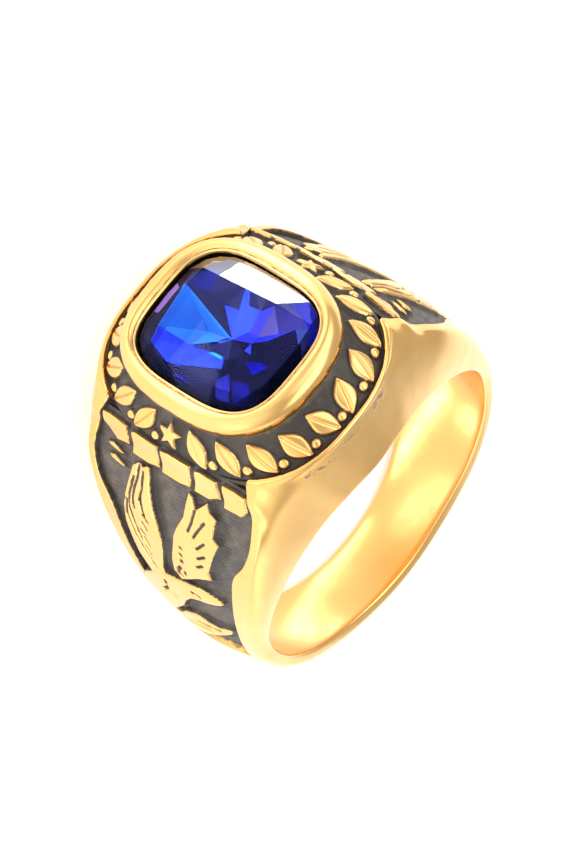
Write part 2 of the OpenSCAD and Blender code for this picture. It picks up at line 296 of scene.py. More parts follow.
def makeBand():
    ring, panel = castRing, sidePanel
    end = panel["end"]
    early, close, beside, behind = ring["angleSteps"]
    first, last = ring["cornerStretch"]
    wall = np.array(ring["wallAngles"])
    ahead = np.concatenate([
        np.arange(0, first, early), np.arange(first, last, close),
        np.arange(last, end - beside / 2, beside), end - wall[::-1], end + wall,
        np.arange(end + beside, 180, behind)])
    a = np.concatenate([ahead, [180], -ahead[:0:-1]])[:, None]
    side = np.abs(a)
    half = section(a, "footHalf")
    hole, rounding = ring["holeRadius"], ring["edgeRounding"]
    foot = hole + ring["edgeHeight"]
    rows = []

    def add(radius, reach, dark=0.0):
        rows.append(np.broadcast_arrays(radius, reach, dark, a)[:3])

    # the hole's wall, its rounded edge and the foot of the side
    for share in np.linspace(0.1, 1, 8):
        add(hole, (half - rounding) * share)
    for turn in np.radians((30, 60, 90)):
        add(hole + rounding * (1 - np.cos(turn)), half - rounding * (1 - np.sin(turn)))
    add((hole + rounding + foot) / 2, half)
    add(foot, half)
    # the corner under the rim is sharp at the edge and smooth further down
    power = ring["sidePower"][0] + ring["sidePower"][1] * np.minimum(1, side / 90)
    low, middle, edge = (np.stack([np.interp(side, fineAngles, values) for values in level])
                         for level in sideLevels)
    for turn in np.radians(np.linspace(4, 90, ring["sideRows"])):
        rise = np.sin(turn)
        reach, height = (low + (middle - low) * smoothStep(*ring["middleBlend"], rise)
                         + (edge - middle) * smoothStep(*ring["edgeBlend"], rise))
        add(foot + (height - foot) * rise ** power, reach + (half - reach) * np.cos(turn) ** power)
    # the frame beside the panel, the panel's lip and wall, and the bed
    crest = np.interp(side, fineAngles, fineHalf)
    inner = np.minimum(panelHalf(a), crest - panel["frame"])
    lip, deep = panel["lip"], panel["depth"] + panel["bed"]
    sunk = ((side > panel["start"]) & (side < end)).astype(float)
    for share in (0.3, 0.6, 0.85):
        z = blend(crest, inner + lip, share)
        add(outside(a, z), z)
    for turn in np.radians((0, 30, 60, 90)):
        z = inner + lip - lip * np.sin(turn)
        dark = panel["lipPatina"] * turn / (math.pi / 2)
        add(outside(a, z) - sunk * lip * (1 - np.cos(turn)), z, sunk * dark)
    for share in (0.55, 1):
        add(outside(a, inner) - sunk * deep * share, inner - panel["draft"] * share, sunk)
    for share in (0.8, 0.6, 0.4, 0.2, 0):
        add(outside(a, inner * share) - sunk * deep, inner * share, sunk)
    # the other half of each section mirrors this one
    rows = np.concatenate(rows, 2)
    mirrored = rows[..., -2::-1] * np.array([1, -1, 1])[:, None, None]
    radii, reaches, patina = np.concatenate([rows, mirrored], 2)
    points = aroundFinger(a, radii, reaches)
    patina = np.maximum(patina, castingMarks(points))
    # inside the rim the head's channel takes the top away
    halfWide, halfLong = ring["channelHalf"]
    inside = ((np.abs(points[..., 0]) / halfWide) ** ring["rimSquare"]
              + (np.abs(points[..., 2]) / halfLong) ** ring["rimSquare"]) < 1
    height = -points[..., 1]
    cut = inside & (height > ring["channelAbove"])
    points[..., 1] = -np.where(cut, np.minimum(height, ring["rimRise"] - ring["channelDepth"]), height)
    piece = makePiece("ringBand", layOver(points), gridFaces(*radii.shape, True, True), patina)
    print("band:", len(piece.data.polygons), "faces")
    return piece


# The eagle and the blocks on a shoulder: outlines are in degrees from the stone and millimetres
# from the band's middle, heights from the frame beside the panel
eagleRelief = {
    # height of each figure's top, and how far its outline is grown
    "figures": {"wings": (-0.03, 0.09), "body": (0.0, 0.09), "branch": (-0.04, 0.09),
                "blocks": (0.01, 0.14), "bars": (-0.04, 0.1)},
    "cuts": {"wingCuts": (0.2, 0.1), "bodyCuts": (0.26, 0.14)},    # depth, width
    "cutAbove": -0.3,    # lowest height that is cut
    "grooveSpacing": 0.29,    # fine grooves cross the floor
    "grooveHeight": 0.035,
    "skinHeight": 0.014,    # unevenness of the cast skin
    "floorLimit": 0.05,    # most depth under the panel's own
    "darkBetween": (-0.16, -0.07),    # heights between which the dark finish fades out
    "ridgeWear": 0.14,
    # painted shadow: the floor beside these figures is darkened as if they cast shadows to one side
    "shadowBeside": ("wings", "body", "branch"),
    "shadowShift": (0.1, 0.45),    # along and across
    "shadowWidth": 0.5,
    "shadowDarkness": 0.5,
    "shadowOver": 0.6,    # least darkness under the painted shadow
    "cutPatina": 1.3,
    "mostPatina": 1.5,
    "wings": [
        [(34, -2.85), (32.9, -2.5), (32.6, -2.2), (33.2, -2.05), (32.3, -1.75), (32.3, -1.5), (34, -1.4),
         (36.7, -1.35), (41.8, -1.15), (46.2, -0.85), (51.1, -0.65), (56.4, -0.75), (63.2, -1.1),
         (67, -1.1), (69.1, -2.1), (73.1, -2.02), (68.4, -2.61), (64, -3.22), (58.8, -3.5), (53.1, -3.75),
         (47.2, -3.7), (43.5, -3.5), (37.8, -3.1)],
        [(32.3, 1.6), (32.7, 1.95), (35.5, 2.2), (34, 2.55), (32.1, 3), (34.2, 3.25), (35.1, 3.75),
         (38, 3.6), (40.6, 3.55), (41.9, 3.95), (45.2, 3.6), (49.9, 3.2), (52.9, 2.95), (55.9, 3.05),
         (58.5, 1.95), (61.3, 1.1), (63.1, 0.5), (60.6, -0.05), (55.8, 0), (50.9, 0.25), (46.5, 0.45),
         (43.4, 0.75), (39.1, 1.3), (35.2, 1.45)],
    ],
    "body": [
        [(69, -2.2), (66.1, -1.3), (65.4, -0.7), (65, -0.15), (64, 0.6), (62.9, 1.55), (62.7, 2.3),
         (63.2, 2.95), (63.6, 3.35), (64.4, 3.5), (65.6, 3.35), (66.9, 2.9), (68.2, 2.2), (68.9, 1.6),
         (70.3, 0.9), (73.9, 0.2), (79.2, -0.4), (82.6, -1), (86, -1.6), (90, -2.1), (91.5, -3.6),
         (83.4, -3.8), (76.4, -3.75), (72.5, -2.9)],
    ],
    "branch": [
        [(82.4, -0.5), (80.4, 0.3), (79.8, 0.8), (80.9, 1.45), (80.8, 2.3), (79.8, 2.9), (79.9, 3.2),
         (82.2, 3), (85.2, 2.3), (88.6, 1.4), (92, 0.5), (95.2, -0.6), (95.6, -2.2), (91, -2.1),
         (86.4, -1.1)],
    ],
    "blocks": [
        [(26.2, -5.55), (25.9, -4.9), (26.1, -3.4), (30, -3.4), (30.6, -4.3), (28.4, -5.5)],
        [(26.5, -2.85), (26.2, -2.6), (26.3, -0.8), (30.7, -0.85), (31.3, -1.6), (31.3, -2.9)],
        [(26.6, -0.45), (26.3, 0.05), (26.2, 1.75), (30.8, 1.6), (31.3, 0.9), (31.3, -0.45)],
        [(26.4, 2.2), (26.1, 2.55), (26.2, 3.7), (29.5, 3.85), (31, 3.1), (31, 2.05)],
        [(26, 4.15), (25.9, 4.9), (26.2, 5.7), (29.2, 5.7), (30.9, 5.3), (31, 4.2)],
    ],
    "bars": [
        [(32.6, -5.15), (32, -4.7), (32.5, -4.2), (33.2, -3.6), (33.4, -4.1), (33.2, -4.8)],
        [(35.2, -4.9), (34.7, -4.4), (35.2, -4), (36.1, -3.45), (36.3, -3.9), (36, -4.6)],
    ],
    "wingCuts": [
        [(33.3, -2.3), (36.2, -2.35), (39.4, -2.6), (42.8, -2.8), (46.2, -2.75)],
        [(36.9, -2.7), (42, -3.05), (45.8, -3.2), (50.5, -2.9), (56, -2.45)],
        [(34.4, -1.95), (38.8, -2), (42.5, -2.25)],
        [(44.8, -3.4), (49.9, -3.45), (55.8, -3), (60.4, -2.4), (65.3, -1.75)],
        [(41.2, -2.15), (44.5, -2.05), (46.7, -1.9)], [(46.8, -2.05), (48.2, -1.65)],
        [(49.4, -2.15), (51.1, -1.85)], [(54.6, -2.15), (57.2, -1.85)], [(58.3, -2.2), (60.8, -1.9)],
        [(52.3, -2.4), (53.4, -2.1)], [(35.9, 2.15), (39.5, 1.95), (42.6, 1.65)],
        [(37.7, 2.9), (40.3, 2.5), (43.6, 2.05)], [(43.8, 2.85), (46.7, 2.25)], [(48.1, 2.8), (50.1, 2.2)],
        [(51.8, 2.55), (53.5, 2.05)], [(58.5, 0.95), (59.5, 0.9)],
    ],
    "bodyCuts": [
        [(49.8, 0.9), (49.9, 0.95)], [(52.2, 0.85), (52.5, 0.85)], [(54.5, 0.85), (54.9, 0.8)],
        [(57.6, 0.6), (59.3, 0.35)], [(61.2, 0.6), (60.4, 0.3)],
        [(69.7, -1.25), (71.2, -1.35), (73.2, -1.2)], [(73.2, -1.2), (74.7, -0.75)],
        [(73.4, -1.3), (75.7, -1.75)], [(66.8, 1.1), (66.9, 1.6)], [(84.2, 0.2), (83.6, 1.2), (83, 2.2)],
        [(88.5, -0.9), (87.4, 0.3), (86.2, 1.3)], [(86.6, -1.5), (83.2, -0.75)],
    ],
}
crestSteps = np.hypot(np.diff(fineRadius), math.radians(1 / perDegree) * fineRadius[1:])
crestArc = np.concatenate([[0], np.cumsum(crestSteps)])


def alongCrest(angle):
    return np.interp(angle, fineAngles, crestArc)


def placed(line):
    return [(alongCrest(angle), z) for angle, z in line]


def lineDistance(px, pz, line):
    # distance from a line of the relief
    corners = placed(line)
    nearest = np.full(px.shape, np.inf)
    for (x, z), (nextX, nextZ) in zip(corners, corners[1:]):
        dx, dz = nextX - x, nextZ - z
        t = np.clip(((px - x) * dx + (pz - z) * dz) / (dx * dx + dz * dz), 0, 1)
        nearest = np.minimum(nearest, np.hypot(px - x - t * dx, pz - z - t * dz))
    return nearest


def outlineDistance(px, pz, outline):
    # distance from an outline, more than zero inside it
    corners = placed(outline)
    inside = np.zeros(px.shape, bool)
    for (x, z), (nextX, nextZ) in zip(corners, corners[1:] + corners[:1]):
        if z != nextZ:
            crosses = (z > pz) != (nextZ > pz)
            inside ^= crosses & (px < x + (pz - z) / (nextZ - z) * (nextX - x))
    nearest = lineDistance(px, pz, outline + outline[:1])
    return np.where(inside, nearest, -nearest)


def raised(distance, top, wall=0.2, crown=0.04, floor=0.0):
    # a raised figure: steep wall, rounded edge and softly crowned top
    rise = smoothStep(-0.08, wall, distance)
    return blend(floor, top, rise) + crown * (1 - np.exp(-np.maximum(distance, 0) / 0.3))


def workRelief(px, pz):
    # heights and darkness at points of the panel: patina in the recesses, and painted shadow beside the
    # eagle's figures
    relief, floor = eagleRelief, -sidePanel["depth"]
    grooves = np.sin(px / relief["grooveSpacing"] * 2 * math.pi + 0.7 * np.sin(pz * 1.7))
    skin = np.sin(px * 13.7 + pz * 1.3) * np.sin(pz * 9.1 + px * 2.3)
    height = floor + relief["grooveHeight"] * grooves + relief["skinHeight"] * skin
    shadowAndDeepPatina = np.zeros(px.shape)
    shiftAlong, shiftAcross = relief["shadowShift"]
    for name, (top, grown) in relief["figures"].items():
        for outline in relief[name]:
            distance = outlineDistance(px, pz, outline) + grown
            height = np.maximum(height, raised(distance, top, floor=floor))
            # painted shadow: each figure's outline, shifted along and across, darkens the floor beside it
            if name in relief["shadowBeside"]:
                shadowDistance = outlineDistance(px - shiftAlong, pz - shiftAcross, outline)
                shadowAndDeepPatina = np.maximum(shadowAndDeepPatina, smoothStep(-relief["shadowWidth"], 0, shadowDistance))
    dark = 1 - smoothStep(*relief["darkBetween"], height)
    dark -= relief["ridgeWear"] * dark * smoothStep(0.3, 1.0, grooves)
    # the painted shadow darkens only the floor, which is already dark with patina
    dark += relief["shadowDarkness"] * shadowAndDeepPatina * (dark > relief["shadowOver"])
    for name, (depth, width) in relief["cuts"].items():
        for line in relief[name]:
            cut = np.exp(-(lineDistance(px, pz, line) / width) ** 2)
            height -= depth * cut * (height > relief["cutAbove"])
            dark = np.maximum(dark, relief["cutPatina"] * cut)
    return np.maximum(height, floor - relief["floorLimit"]), np.minimum(dark, relief["mostPatina"])


def makePanels():
    panel = sidePanel
    start, end = alongCrest(panel["reliefStart"]), alongCrest(panel["end"] + panel["endOverlap"])
    rows, columns = int((end - start) / panel["spacing"]), panel["columns"]
    along = np.linspace(start, end, rows)[:, None]
    angle = np.interp(along, crestArc, fineAngles)
    z = (panelHalf(angle) + panel["sideOverlap"]) * np.linspace(1, -1, columns)
    height, patina = workRelief(np.broadcast_to(along, z.shape), z)
    surface = outside(angle, z)
    points = aroundFinger(angle, surface + height, z)
    # a skirt closes the relief's sides, ends and back
    skirt = aroundFinger(angle, surface[:, [0, -1]] - panel["skirt"], z[:, [0, -1]])
    faces = gridFaces(rows, columns)
    last = rows * columns
    for i in range(rows - 1):
        low, high = last + 2 * i, last + 2 * i + 2
        faces.append([i * columns, (i + 1) * columns, high, low])
        faces.append([(i + 1) * columns - 1, low + 1, high + 1, (i + 2) * columns - 1])
        faces.append([low, high, high + 1, low + 1])
    faces.append([*range(columns), last + 1, last])
    faces.append([*range(last - 1, last - columns - 1, -1), last + 2 * rows - 2, last + 2 * rows - 1])
    places = np.concatenate([points.reshape(-1, 3), skirt.reshape(-1, 3)])
    patina = np.concatenate([patina.ravel(), np.ones(2 * rows)])
    # the far panel is the near one turned round the stone's axis
    pieces = [makePiece(name, layOver(places * (turn, 1, turn)), faces, patina)
              for name, turn in (("panelNear", 1), ("panelFar", -1))]
    print("panels:", len(faces), "faces each")
    return pieces


# The head: rim, channel with its garland, and the bezel round the stone
ringHead = {
    "around": 720,
    "channelRows": 46,
    # half length, half width, height above the rim, squareness, patina
    "spreadRow": (8.2, 7, 0, 2.58),     # the points are spread evenly round this ring
    "rimRows": [
        (7.9, 6.4, -1.9, 2.58, 0), (8.5, 7.14, -0.5, 2.58, 0), (8.585, 7.235, -0.26, 2.58, 0),
        (8.62, 7.27, -0.12, 2.58, 0), (8.6, 7.25, -0.01, 2.58, 0), (8.54, 7.19, 0.07, 2.58, 0),
        (8.46, 7.11, 0.1, 2.58, 0), (8.38, 7.03, 0.07, 2.58, 0), (8.32, 6.97, -0.03, 2.58, 0.2),
        (8.27, 6.92, -0.22, 2.58, 0.9), (8.21, 6.87, -0.4, 2.58, 1),
    ],
    "bezelRows": [
        (6.36, 5.48, 1.4, 2.56, 1), (6.39, 5.52, 1.62, 2.56, 0.6), (6.45, 5.58, 1.85, 2.56, 0.05),
        (6.48, 5.61, 2.08, 2.56, 0), (6.46, 5.59, 2.3, 2.57, 0), (6.38, 5.52, 2.52, 2.6, 0),
        (6.24, 5.39, 2.72, 2.66, 0), (6.06, 5.22, 2.87, 2.75, 0), (5.86, 5.04, 2.97, 2.85, 0),
        (5.66, 4.86, 3, 2.95, 0), (5.48, 4.7, 2.96, 3.05, 0), (5.36, 4.59, 2.87, 3.12, 0.1),
        (5.31, 4.55, 2.79, 3.15, 0.7), (5.27, 4.51, 2.8, 3.18, 0.6), (5.22, 4.46, 2.84, 3.22, 0),
        (5.14, 4.38, 2.8, 3.3, 0), (5.09, 4.34, 2.68, 3.34, 0), (5.08, 4.33, 2.4, 3.34, 0.1),
        (5.06, 4.31, 1.9, 3.34, 0.5), (4.7, 3.95, 1.45, 3.2, 0.8), (3.5, 2.9, 0, 2.9, 1),
        (2.4, 2, -1.35, 2.6, 1),
    ],
    # the rim's gap over each panel
    "gapHalf": (5.35, 5.6),
    "gapAcross": 4,         # least distance from the middle
    "gapDrop": 0.72,
    "gapIn": 0.3,
    "figures": 22,          # leaves and stars
    # height of the top, wall and crown
    "starForm": (0.34, 0.14, 0.12),
    "leafForm": (0.32, 0.13, 0.1),
    "berryForm": (0.28, 0.16, 0.1),
    "starRadius": 1.02,
    "starNotch": 0.45,      # inner radius as a share
    "leafLong": 2.45,
    "leafWide": 1.4,
    "leafLean": 28,
    "ribDepth": 0.16,
    "ribWidth": 0.06,
    "berryRadius": 0.34,
    "berryDrop": 0.62,      # how far down the slope they sit
    "skinHeight": 0.012,
    "darkBetween": (0.12, 0.3),
    "patina": 1.5,
}


def cushionRing(row, turn, stretch=1.0):
    # one rounded-square ring of points round the head
    halfLong, halfWide, height, square = row[:4]
    across, along = (np.sign(v) * np.abs(v) ** (2 / square) for v in (np.sin(turn), np.cos(turn)))
    rise = castRing["rimRise"] + height * (stretch if height > 0 else 1)
    return np.stack([-halfWide * across, np.full(turn.shape, -rise), halfLong * along], -1)


def starShape(x, y, radius, notch):
    # distance inside a five-pointed star, folded onto half a point
    sector = 2 * math.pi / 5
    folded = np.abs((np.arctan2(x, y) + sector / 2) % sector - sector / 2)
    r = np.hypot(x, y)
    dx = notch * radius * math.sin(sector / 2)
    dy = notch * radius * math.cos(sector / 2) - radius
    return (r * np.sin(folded) * dy - (r * np.cos(folded) - radius) * dx) / math.hypot(dx, dy)


def leafShape(x, y, long, wide, lean):
    # distance inside a leaf and from its middle line
    across = np.abs(x * math.cos(lean) - y * math.sin(lean))
    along = x * math.sin(lean) + y * math.cos(lean)
    reach = wide / 2 * np.sin(math.pi * np.clip(along / long + 0.5, 0, 1))
    over = np.maximum(np.abs(along) - long / 2, 0)
    return np.where(over > 0, -over - across, (reach - across) * 0.85), across


def garlandHeights(along, across, total):
    head, count = ringHead, ringHead["figures"]
    height = head["skinHeight"] * np.sin(along * 6.1 + across * 3) * np.sin(across * 7.3 - along * 2)

    def distanceFrom(share):
        return (along - share * total + total / 2) % total - total / 2

    for i in range(count):
        share = (i + 0.5) / count
        x = distanceFrom(share)
        if i in (count // 4, 3 * count // 4):
            star = starShape(x, across, head["starRadius"], head["starNotch"])
            height = np.maximum(height, raised(star, *head["starForm"]))
        else:
            lean = math.radians(head["leafLean"]) * (1 if share < 0.25 or 0.5 < share < 0.75 else -1)
            distance, rib = leafShape(x, across, head["leafLong"], head["leafWide"], lean)
            cut = np.exp(-(rib / head["ribWidth"]) ** 2) * smoothStep(0.02, 0.2, distance)
            height = np.maximum(height, raised(distance, *head["leafForm"]) - head["ribDepth"] * cut)
            # a berry between two leaves
            x = distanceFrom((i + 1) / count)
            berry = head["berryRadius"] - np.hypot(x, across + head["berryDrop"])
            height = np.maximum(height, raised(berry, *head["berryForm"]))
    return height


def gridNormals(points):
    down = np.gradient(points, axis=0)
    aroundRim = (np.roll(points, -1, 1) - np.roll(points, 1, 1)) / 2
    normal = np.cross(aroundRim, down)
    return normal / np.linalg.norm(normal, axis=-1, keepdims=True)


def makeHead():
    head, count = ringHead, ringHead["around"]
    fine = np.linspace(0, 2 * math.pi, 40001)
    ring = cushionRing(head["spreadRow"], fine)
    run = np.concatenate([[0], np.cumsum(np.linalg.norm(np.diff(ring, axis=0), axis=1))])
    turn = np.interp(np.arange(count) / count * run[-1], run, fine)
    stretch = castRing["bezelRise"] / max(row[2] for row in head["bezelRows"])
    rims = np.stack([cushionRing(row, turn) for row in head["rimRows"]])
    bezel = np.stack([cushionRing(row, turn, stretch) for row in head["bezelRows"]])
    darkRims, darkBezel = (np.repeat([[row[4]] for row in head[name]], count, 1)
                           for name in ("rimRows", "bezelRows"))
    # the channel's floor rises from the rim to the bezel
    foot, top = rims[-1], bezel[0]
    middle = (foot + top) / 2
    steps = np.linalg.norm(np.roll(middle, -1, 0) - middle, axis=1)
    along = np.concatenate([[0], np.cumsum(steps)[:-1]])
    shares = np.linspace(0, 1, head["channelRows"] + 2)[1:-1, None]
    across = (shares - 0.5) * np.linalg.norm(top - foot, axis=1)
    height = garlandHeights(along, across, steps.sum())
    base = blend(foot, top, shares[..., None])
    floor = base + gridNormals(base) * height[..., None]
    darkFloor = head["patina"] * (1 - smoothStep(*head["darkBetween"], height))
    # over each panel the rim gives way
    opening = 1 - smoothStep(*head["gapHalf"], np.abs(rims[..., 2]))
    opening *= np.abs(rims[..., 0]) > head["gapAcross"]
    rims[..., 1] += opening * head["gapDrop"]
    rims[..., 0] -= np.sign(rims[..., 0]) * opening * head["gapIn"]
    points = np.concatenate([rims, floor, bezel])
    patina = np.concatenate([np.maximum(darkRims, opening), darkFloor, darkBezel])
    faces = gridFaces(len(points), count, False, True)
    last = len(points) * count
    faces.append([*range(count)])
    faces.append([*range(last - 1, last - count - 1, -1)])
    piece = makePiece("ringHead", layOver(points), faces, patina)
    print("head:", len(faces), "faces")
    return piece


# Polished gold under a thin lacquer, with a dark finish in its recesses and painted shadow beside the
# eagle's figures
goldFinish = {
    "polished": (0.93, 0.57, 0.2),
    "deep": (0.88, 0.5, 0.15),
    "patina": (0.085, 0.072, 0.062),
    "patinaWarm": (0.17, 0.135, 0.105),
    "deepPatinaAndShadow": (0.035, 0.027, 0.02),    # deepest dark: the channel's and the cuts' patina, and the painted shadow beside the eagle's figures
    "roughness": (0.2, 0.28),
    "patinaRoughness": 0.62,
    "patinaMetallic": 0.35,
    "patinaEdge": (0.35, 0.75),    # where the dark finish starts and is full
    "deepPatinaAndShadowFrom": (1.0, 1.45),    # and where it counts as deepest, painted shadow included
    "deepPatinaAndShadowMost": 0.85,
    "polishBack": 0.22,    # how much its edge breaks up
    "grain": 0.06,    # the polish's grain beside the cast skin's
    "bumpStrength": 0.5,
    "bumpDistance": 0.00006,
    "lacquer": 0.2,
    "lacquerIndex": 1.6,
    "lacquerRoughness": 0.1,
    # scale and detail of each noise, and the two values that are stretched apart
    "grainNoise": (5200.0, 2.0),
    "toneClouds": (180.0, 2.0, 0.35, 0.7),
    "edgeClouds": (2600.0, 4.0, 0.3, 0.7),
    "grimeClouds": (1500.0, 5.0, 0.4, 0.75),
    "deepPatinaAndShadowClouds": (300.0, 2.0, 0.38, 0.6),
    "roughClouds": (900.0, 4.0, 0.3, 0.7),
}


def newMaterial(name):
    material = bpy.data.materials.new(name)
    material.use_nodes = True
    tree = material.node_tree
    place = tree.nodes.new("ShaderNodeTexCoord").outputs["Object"]
    return material, tree, tree.nodes["Principled BSDF"], place


def setInputs(node, values):
    for name, value in values.items():
        node.inputs[name].default_value = value


def addNode(tree, kind, **values):
    node = tree.nodes.new(kind)
    for key, value in values.items():
        setattr(node, key, value)
    return node


def feed(tree, socket, value):
    if isinstance(value, bpy.types.NodeSocket):
        tree.links.new(value, socket)
    elif isinstance(value, tuple):
        socket.default_value = (*value, 1)
    else:
        socket.default_value = value


def mix(tree, share, first, second, colours=True):
    node = addNode(tree, "ShaderNodeMix", data_type="RGBA" if colours else "FLOAT")
    start = 6 if colours else 2
    for number, value in ((0, share), (start, first), (start + 1, second)):
        feed(tree, node.inputs[number], value)
    return node.outputs[2 if colours else 0]


def mapRange(tree, value, fromLow, fromHigh, toLow=0.0, toHigh=1.0, curve="LINEAR"):
    node = addNode(tree, "ShaderNodeMapRange", interpolation_type=curve)
    for number, part in enumerate((value, fromLow, fromHigh, toLow, toHigh)):
        feed(tree, node.inputs[number], part)
    return node.outputs[0]


def calculate(tree, operation, first, second, clamp=True):
    node = addNode(tree, "ShaderNodeMath", operation=operation, use_clamp=clamp)
    feed(tree, node.inputs[0], first)
    feed(tree, node.inputs[1], second)
    return node.outputs[0]


def noise(tree, place, scale, detail):
    node = addNode(tree, "ShaderNodeTexNoise")
    setInputs(node, {"Scale": scale, "Detail": detail, "Roughness": 0.55})
    tree.links.new(place, node.inputs["Vector"])
    return node.outputs["Fac"]


def clouds(tree, place, pattern, low=0.0, high=1.0):
    # a noise stretched to run from low to high
    scale, detail, fromLow, fromHigh = pattern
    return mapRange(tree, noise(tree, place, scale, detail), fromLow, fromHigh, low, high)


def makeGold():
    finish = goldFinish
    material, tree, shader, place = newMaterial("polishedGold")
    dark = addNode(tree, "ShaderNodeAttribute", attribute_name="patina").outputs["Fac"]
    broken = clouds(tree, place, finish["edgeClouds"], -finish["polishBack"], finish["polishBack"])
    mask = mapRange(tree, calculate(tree, "ADD", dark, broken), *finish["patinaEdge"])
    # patina above one, in the channel and the cuts, and the painted shadow beside the eagle's figures turn
    # darkest
    deep = mapRange(tree, dark, *finish["deepPatinaAndShadowFrom"], 0.0, finish["deepPatinaAndShadowMost"])
    shadowAndDeepPatina = calculate(tree, "MULTIPLY", deep, clouds(tree, place, finish["deepPatinaAndShadowClouds"], 0.4, 1.0))
    tone = mix(tree, clouds(tree, place, finish["toneClouds"]), finish["polished"], finish["deep"])
    grime = mix(tree, clouds(tree, place, finish["grimeClouds"]), finish["patina"], finish["patinaWarm"])
    grime = mix(tree, shadowAndDeepPatina, grime, finish["deepPatinaAndShadow"])
    tree.links.new(mix(tree, mask, tone, grime), shader.inputs["Base Color"])
    rough = clouds(tree, place, finish["roughClouds"], *finish["roughness"])
    rough = mix(tree, mask, rough, finish["patinaRoughness"], False)
    tree.links.new(rough, shader.inputs["Roughness"])
    metallic = mapRange(tree, mask, 0.0, 1.0, 1.0, finish["patinaMetallic"])
    tree.links.new(metallic, shader.inputs["Metallic"])
    setInputs(shader, {"Coat Weight": finish["lacquer"], "Coat IOR": finish["lacquerIndex"],
                       "Coat Roughness": finish["lacquerRoughness"]})
    # the polish has a very fine grain, and the recesses keep the cast skin
    grain = calculate(tree, "MULTIPLY", noise(tree, place, *finish["grainNoise"]),
                      mapRange(tree, mask, 0.0, 1.0, finish["grain"], 1.0))
    bump = addNode(tree, "ShaderNodeBump")
    setInputs(bump, {"Strength": finish["bumpStrength"], "Distance": finish["bumpDistance"]})
    tree.links.new(grain, bump.inputs["Height"])
    tree.links.new(bump.outputs["Normal"], shader.inputs["Normal"])
    return material
